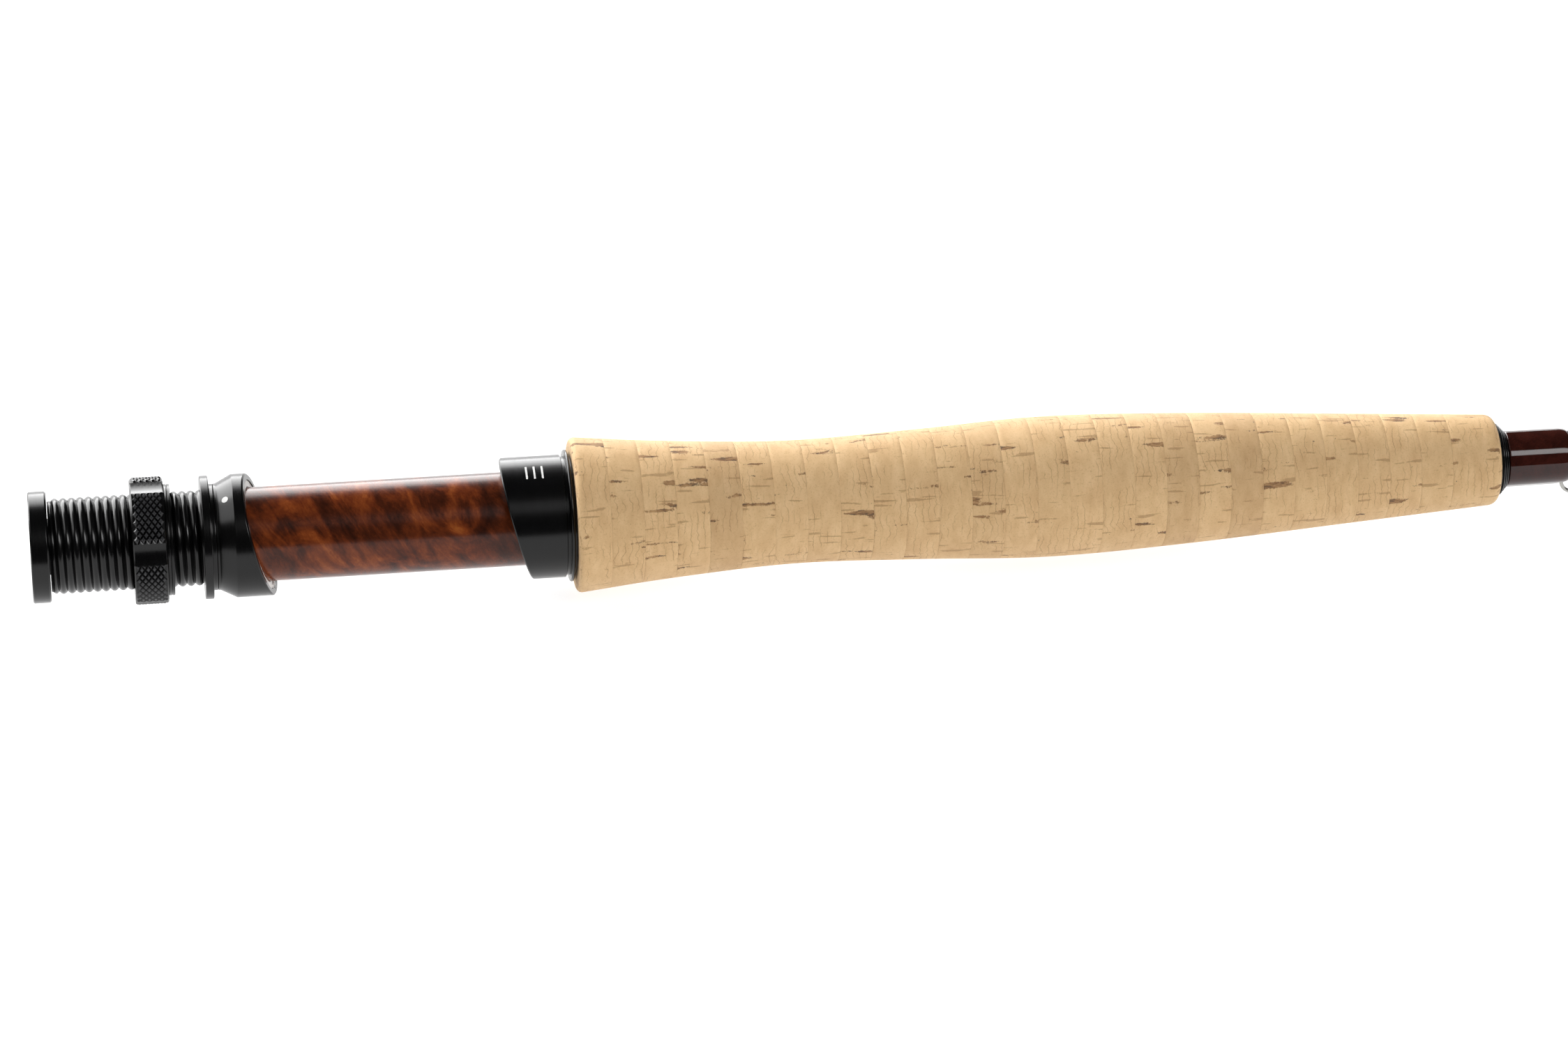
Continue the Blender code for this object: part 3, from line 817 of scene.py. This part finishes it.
def painted_patch(x, radius, angle, tilt, rows):
    """A thin patch of paint on a cone or cylinder, its middle at x and the angle.

    Each row is a distance round the rod and the patch's half width there, along the rod.
    """
    bm = bmesh.new()
    bands = []
    under, over = -0.02 * MM, 0.015 * MM
    for round_it, half_width in rows:
        band = []
        for along, lift in ((-1, under), (1, under), (1, over), (-1, over)):
            here = radius + along * half_width * math.sin(tilt) + lift
            place = x + along * half_width * math.cos(tilt)
            band.append(bm.verts.new(on_axis(place, here, angle + round_it / radius)))
        bands.append(band)
    for band, following in zip(bands, bands[1:]):
        for j in range(4):
            k = (j + 1) % 4
            bm.faces.new((band[j], band[k], following[k], following[j]))
    bm.faces.new(bands[0])
    bm.faces.new(bands[-1])
    return bm


def disc_rows(radius):
    """Rows of a round patch."""
    steps = 24
    rows = []
    for step in range(1, steps):
        angle = math.pi * step / steps
        rows.append((-radius * math.cos(angle), radius * math.sin(angle)))
    return rows


def fixed_hood():
    """Hood against the grip, with a slanted mouth and three plain white index bars."""
    nearest, end = span("fixed_hood")
    outer = reach("fixed_hood")
    mouth = nearest + MOUTH_SLOPE * (outer - MOUTH_LIP)
    wall = end - 1.4 * MM
    bore = reach("wood_insert") + RUNNING
    hole = blank_radius(end) + 2 * GLUE
    outline = [
        (wall, hole),
        mouth_point(wall, bore, 0, POCKET_RADIUS),
        mouth_point(mouth, bore, MOUTH_SLOPE, POCKET_RADIUS),
        mouth_point(mouth, outer - MOUTH_LIP, MOUTH_SLOPE),
        mouth_point(mouth + MOUTH_LIP, outer, MOUTH_SLOPE),
        (end, outer),
        (end, hole),
    ]
    bm = lathe(outline, 2 * SEGMENTS)
    piece("fixed_hood_shell", bm, black, nodes=["fixed_hood"], bevel=0.06 * MM)

    bar_length = 3.4 * MM
    bar_width = 0.36 * MM
    bar_spacing = 1.5 * MM
    middle_bar = end - 5.4 * MM
    bar_angle = math.radians(98)
    steps = 16
    rows = [(bar_length * (j / steps - 0.5), bar_width / 2) for j in range(steps + 1)]
    for number in range(3):
        x = middle_bar + (number - 1) * bar_spacing
        bar = painted_patch(x, outer, bar_angle, 0, rows)
        piece(f"index_bar_{number + 1}", bar, paint)


def trim_ring():
    """Rounded bead with a dark groove towards the hood and a narrow gap towards the cork."""
    start, end = span("trim_ring")
    outer = reach("trim_ring")
    bore = blank_radius(end) + 2 * GLUE
    root = outer - 1.3 * MM
    groove = 0.5 * MM
    gap = 0.2 * MM
    half = (end - start - groove - gap) / 2
    height = 0.95 * half
    bead = arc((start + groove + half, outer - height), (half, height), 180, 0, 14)
    outline = [(start - TUCK, bore), (start - TUCK, root), (start + groove, root)]
    outline += bead
    outline += [(end - gap, root), (end + TUCK, root), (end + TUCK, bore)]
    piece("trim_bead", lathe(outline), black, nodes=["trim_ring"])


# ---------------------------------------------------------------- grip


def grip_stations():
    """(x, radius) along the turned grip, read from the CAD cork rings."""
    butt = span("cork_ring_01")[0] + BUTT_ROUND
    stations = [(butt, reach("cork_ring_01", butt))]
    for number in range(1, CORK_RINGS):
        end = span(f"cork_ring_{number:02d}")[1]
        stations.append((end, reach(f"cork_ring_{number:02d}", end)))
    tip = span(f"cork_ring_{CORK_RINGS}")[1] - TIP_ROUND[0]
    stations.append((tip, reach(f"cork_ring_{CORK_RINGS}", tip)))
    return stations


def cork_grip():
    """28 cork rings, glued and turned together. Each ring's edge is a hair lower at its seams."""
    stations = grip_stations()
    seam = 0.03 * MM
    rows = 8
    for number in range(1, CORK_RINGS + 1):
        node = f"cork_ring_{number:02d}"
        start, end = span(node)
        last = number == CORK_RINGS
        if not last:
            end = span(f"cork_ring_{number + 1:02d}")[0]
        bore = blank_radius(start) + GLUE
        rear = [(start, smooth_curve(stations, start) - seam)]
        front = [(end, smooth_curve(stations, end) - seam)]
        low = start + 1.5 * seam
        high = end - 1.5 * seam
        if number == 1:
            low = start + BUTT_ROUND
            radius = smooth_curve(stations, low)
            rear = arc((low, radius - BUTT_ROUND), (BUTT_ROUND, BUTT_ROUND), 180, 90, 8)[:-1]
        if last:
            high = end - TIP_ROUND[0]
            radius = smooth_curve(stations, high)
            front = arc((high, radius - TIP_ROUND[1]), TIP_ROUND, 90, 12, 10)[1:]
            front.append((end, front[-1][1] - 0.3 * MM))
        middle = []
        for row in range(rows + 1):
            x = low + (high - low) * row / rows
            middle.append((x, smooth_curve(stations, x)))
        outline = [(start, bore)] + rear + middle + front + [(end, bore)]
        piece(f"cork_{number:02d}", lathe(outline), cork_skin, nodes=[node], sharp=50)


def winding_check():
    """Black rubber ring that closes the grip: a plain band and three rounded ribs."""
    start, end = span("winding_check")
    back = reach("winding_check", start)
    front = 5.65 * MM
    bore = blank_radius(end) + 0.03 * MM
    start -= 0.25 * MM  # into the hollow of the cork's end
    edge = 0.1 * MM
    band = 0.45 * MM
    ribs = 3
    steps = 8
    rib_height = 0.36 * MM
    sunk = 0.5 * MM
    width = (end - start - band) / ribs
    outline = [(start, bore), (start, back - edge), (start + edge, back)]
    for rib in range(ribs):
        for step in range(steps + 1):
            share = (rib + step / steps) / ribs
            lift = rib_height * math.sin(math.pi * step / steps) ** 0.7
            base = back - sunk + (front - back) * share
            outline.append((start + band + width * (rib + step / steps), base + lift))
    outline.append((end, bore))
    piece("ribbed_check", lathe(outline), rubber, nodes=["winding_check"], sharp=70)


# ---------------------------------------------------------------- blank, wraps and hook keeper


def blank():
    start, end = span("blank")
    wall = 0.9 * MM
    outline = [(start, blank_radius(start) - wall)]
    steps = 24
    for step in range(steps + 1):
        x = start + (end - start) * step / steps
        outline.append((x, blank_radius(x)))
    outline.append((end, blank_radius(end) - wall))
    piece("blank_tube", lathe(outline), lacquer, nodes=["blank"], sharp=50)


def ferrule_spigot():
    """Ground plug with a rounded end."""
    start, end = span("ferrule_spigot")
    shoulder = span("blank")[1]
    thick = reach("ferrule_spigot", shoulder)
    taper = 0.35 * MM
    thin = thick - taper
    bore = 1.6 * MM
    round_off = 0.4 * MM
    outline = [(start, bore), (start, thick), (shoulder, thick)]
    outline += arc((end - round_off, thin - round_off), (round_off, round_off), 90, 0, 5)
    outline += [(end, bore)]
    bm = lathe(outline)
    piece("spigot", bm, graphite, nodes=["ferrule_spigot"], sharp=50)


def wrap(name, node, material, lead=0.0, wire=0.0, notch=0.0):
    """Thread wrap under epoxy, rounded off at its ends. Over a wire's foot its underside swells.

    A lead carries it back to the piece behind, where its end is steep. A notch shortens the
    underside at the front, where the wire comes out.
    """
    start, end = span(node)
    start -= lead
    thickness = min(reach(node) - blank_radius(end), 0.58 * MM)
    room = 0.02 * MM
    half_swell = math.radians(34)
    rows = 40
    shoulder = 1.8 * MM
    rear_shoulder = 0.12 * shoulder if lead else shoulder
    thinning = 0.14

    def swell(angle):
        return eased(1 - apart(angle, UNDERSIDE) / half_swell)

    def surface(share):
        def point(angle):
            here_end = end - notch * swell(angle)
            x = start + (here_end - start) * share
            edge = min((x - start) / rear_shoulder, (here_end - x) / shoulder)
            fullness = math.sqrt(1 - (1 - min(edge, 1)) ** 2)
            lift = (thickness * (1 - thinning * share) + wire * swell(angle)) * fullness
            return x, blank_radius(x) + room + lift

        return point

    def inner(share):
        def point(angle):
            here_end = end - notch * swell(angle)
            x = start + (here_end - start) * share
            return x, blank_radius(x) + room * 0.5

        return point

    shares = [0.5 - 0.5 * math.cos(math.pi * row / rows) for row in range(rows + 1)]
    outline = [inner(0)] + [surface(share) for share in shares] + [inner(1)]
    piece(name, lathe(outline), material, nodes=[node], sharp=70)


def hook_keeper():
    """Round wire loop, with both feet under the wraps."""
    low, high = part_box("hook_keeper")
    centre = (low.x + high.x) / 2
    wire = 0.375 * MM  # the wire's radius
    surface = blank_radius(centre)
    foot_depth = surface + 0.15 * MM + wire
    depth = surface + 1.3 * MM
    bend = -low.z - wire - depth
    opening = math.acos((depth - foot_depth) / bend)
    route = [(low.x, foot_depth)]
    steps = 48
    for step in range(steps + 1):
        angle = opening + (TAU - 2 * opening) * step / steps
        route.append((centre - bend * math.sin(angle), depth - bend * math.cos(angle)))
    route.append((high.x, foot_depth))
    curve = bpy.data.curves.new("keeper_wire", "CURVE")
    curve.dimensions = "3D"
    curve.bevel_depth = wire
    curve.bevel_resolution = 6
    curve.use_fill_caps = True
    spline = curve.splines.new("POLY")
    spline.points.add(len(route) - 1)
    for point, (x, down) in zip(spline.points, route):
        point.co = (x, 0, -down, 1)
    spline.use_smooth = True
    item = bpy.data.objects.new("keeper_wire", curve)
    bpy.context.scene.collection.objects.link(item)
    dressed(item, steel, "rod", ["hook_keeper"])


butt_cap()
threaded_barrel()
wood_insert()
locking_ring()
thrust_washer()
hood_collar()
sliding_hood()
fixed_hood()
trim_ring()
cork_grip()
winding_check()
blank()
ferrule_spigot()
foot = 0.9 * MM
wrap("wrap_rear", "keeper_wrap_rear", burgundy, 0.27 * MM, foot, notch=1.1 * MM)
wrap("wrap_front", "keeper_wrap_front", burgundy, wire=foot)
wrap("wrap_ferrule", "ferrule_wrap", burgundy)
wrap("wrap_trim", "ferrule_trim", trim_thread, 0.37 * MM)
hook_keeper()
for node in ("seat_arbor_rear", "seat_arbor_front"):
    frame["nodes"][node].material_slots[0].material = graphite


# ---------------------------------------------------------------- floor, light and camera


def floor_material():
    """Pale light table: it glows a little, so that no shadow on it is hard."""
    uniform = {"Roughness": 0.6, "Emission Color": (1, 1, 1, 1), "Emission Strength": 0.84}
    material, tree, shader, place = new_material("light_table", uniform)
    cloud = noise(tree, place, 0.004, detail=2)
    colour = ramp(tree, cloud, [(0.3, (0.29, 0.29, 0.29)), (0.7, (0.31, 0.31, 0.31))])
    feed(tree, shader.inputs["Base Color"], colour)
    return material


def floor():
    """A wide pale table under the rod."""
    low = cad_bounds[0]
    half = 8.0
    bm = bmesh.new()
    bmesh.ops.create_grid(bm, x_segments=4, y_segments=4, size=half)
    mesh = bpy.data.meshes.new("light_table")
    bm.to_mesh(mesh)
    bm.free()
    mesh.materials.append(floor_material())
    table = bpy.data.objects.new("light_table", mesh)
    table.location.z = low[2]
    bpy.context.scene.collection.objects.link(table)


def world():
    """A dark room with a bright panel behind the rod and a softbox to each side.

    Angles are in degrees: round the rod from +Y towards +Z, and sideways towards the rod's tip.
    """
    made = bpy.data.worlds.new("studio")
    made.use_nodes = True
    tree = made.node_tree
    parts = tree.nodes.new("ShaderNodeSeparateXYZ")
    feed(tree, parts.inputs[0], add(tree, "ShaderNodeTexCoord", output=0))
    around = calc(tree, "DEGREES", calc(tree, "ARCTAN2", parts.outputs[2], parts.outputs[1]))
    sideways = calc(tree, "DEGREES", calc(tree, "ARCSINE", parts.outputs[0]))
    leaning = calc(tree, "MULTIPLY_ADD", sideways, 3.3, around)
    unlimited = -500

    def softbox(brightness, edge, *limits):
        """Light between each value's limits, fading over so many degrees to each side of them."""
        light = brightness
        for value, low, high in limits:
            rise = step_up(tree, value, low - edge, low + edge)
            fall = step_up(tree, value, high - edge, high + edge, 1.0, 0.0)
            light = calc(tree, "MULTIPLY", light, calc(tree, "MULTIPLY", rise, fall))
        return light

    room_light = 0.035
    light = room_light
    for panel in (
        softbox(6.8, 4, (around, -20, 52), (sideways, -60, 25), (leaning, unlimited, 46)),
        softbox(2.3, 6, (around, 50, 108), (sideways, -65, -28)),
        softbox(6.0, 2.5, (around, 115, 135), (sideways, 10, 58)),
    ):
        light = calc(tree, "ADD", light, panel)
    background = tree.nodes["Background"]
    feed(tree, background.inputs["Color"], (1, 1, 1, 1))
    feed(tree, background.inputs["Strength"], light)
    bpy.context.scene.world = made


def camera():
    """The camera stands 1.2 m away, 35 degrees up on the -Y side, and a little towards the butt."""
    elevation = math.radians(35)
    swing = math.radians(8.07)
    roll = math.radians(1.16)
    distance = 1.207
    aimed_at = 143.4 * MM
    below_axis = 3.96 * MM
    ahead = Vector(
        (
            math.sin(swing) * math.cos(elevation),
            math.cos(swing) * math.cos(elevation),
            -math.sin(elevation),
        )
    )
    level = Vector((math.cos(swing), -math.sin(swing), 0))
    upright = level.cross(ahead)
    right = level * math.cos(roll) + upright * math.sin(roll)
    up = right.cross(ahead)
    place = Vector((aimed_at, 0, 0)) - up * below_axis - ahead * distance
    lens = bpy.data.cameras.new("camera")
    lens.sensor_width = 36.0
    lens.lens = 144.9
    lens.clip_end = 50.0
    item = bpy.data.objects.new("camera", lens)
    turn = Matrix((right, up, -ahead)).transposed()
    item.matrix_world = Matrix.Translation(place) @ turn.to_4x4()
    bpy.context.scene.collection.objects.link(item)
    bpy.context.scene.camera = item


floor()
world()
camera()
bpy.context.scene.view_settings.view_transform = "Standard"

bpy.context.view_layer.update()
